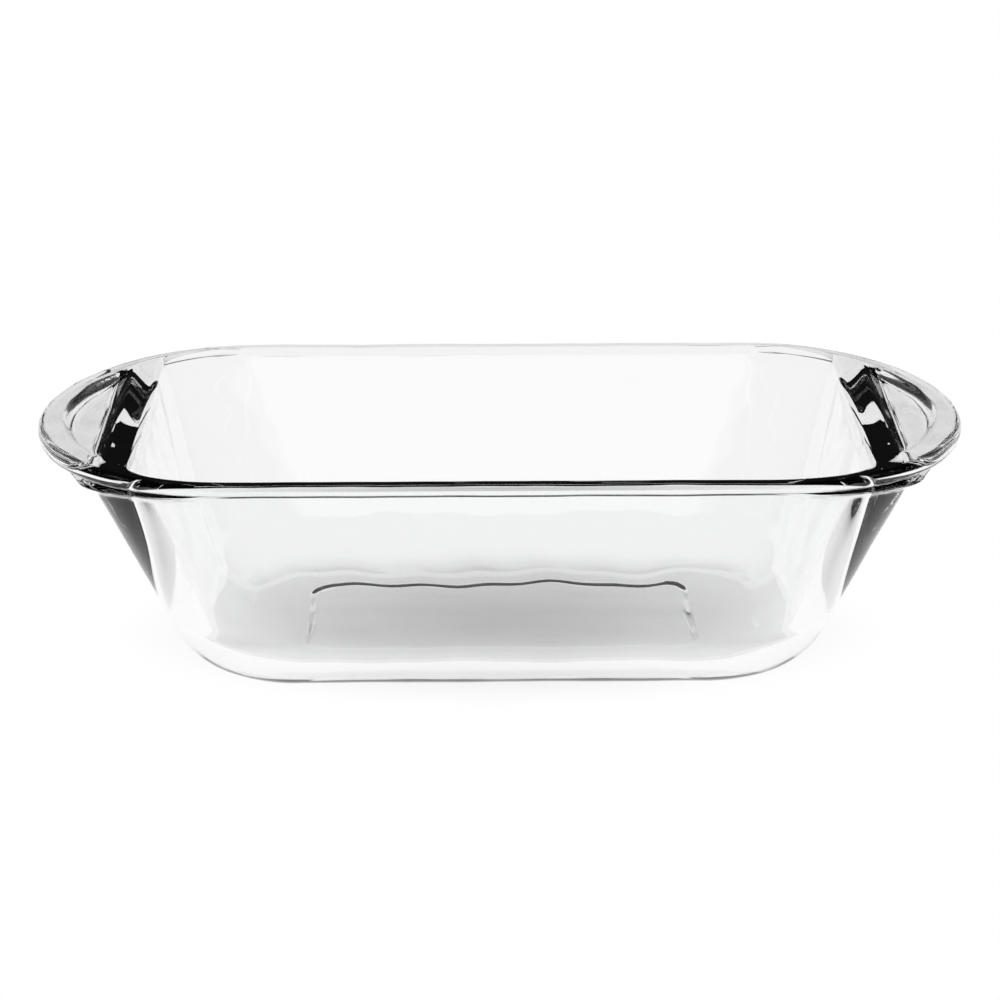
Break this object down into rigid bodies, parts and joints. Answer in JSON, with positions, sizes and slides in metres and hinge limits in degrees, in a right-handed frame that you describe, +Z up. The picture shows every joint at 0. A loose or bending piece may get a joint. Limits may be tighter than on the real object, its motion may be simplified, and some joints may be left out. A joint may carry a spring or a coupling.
{
  "type": "glass loaf pan",
  "caption": "Deep rounded-rectangular clear glass loaf dish with sloping walls, a rounded rim and a flat tab handle at each end.",
  "frame": {"origin": "centre of the resting face, on the surface the dish stands on", "axes": "+X along the dish from handle to handle, +Y across it, +Z up out of the mouth"},
  "size_m": [0.276, 0.132, 0.0705],
  "materials": {
    "clear_glass": "clear colourless pressed glass, fire-polished, with faint waviness from the mould"
  },
  "bodies": {
    "root": {"glass_dish": "clear_glass"}
  },
  "joints": []
}
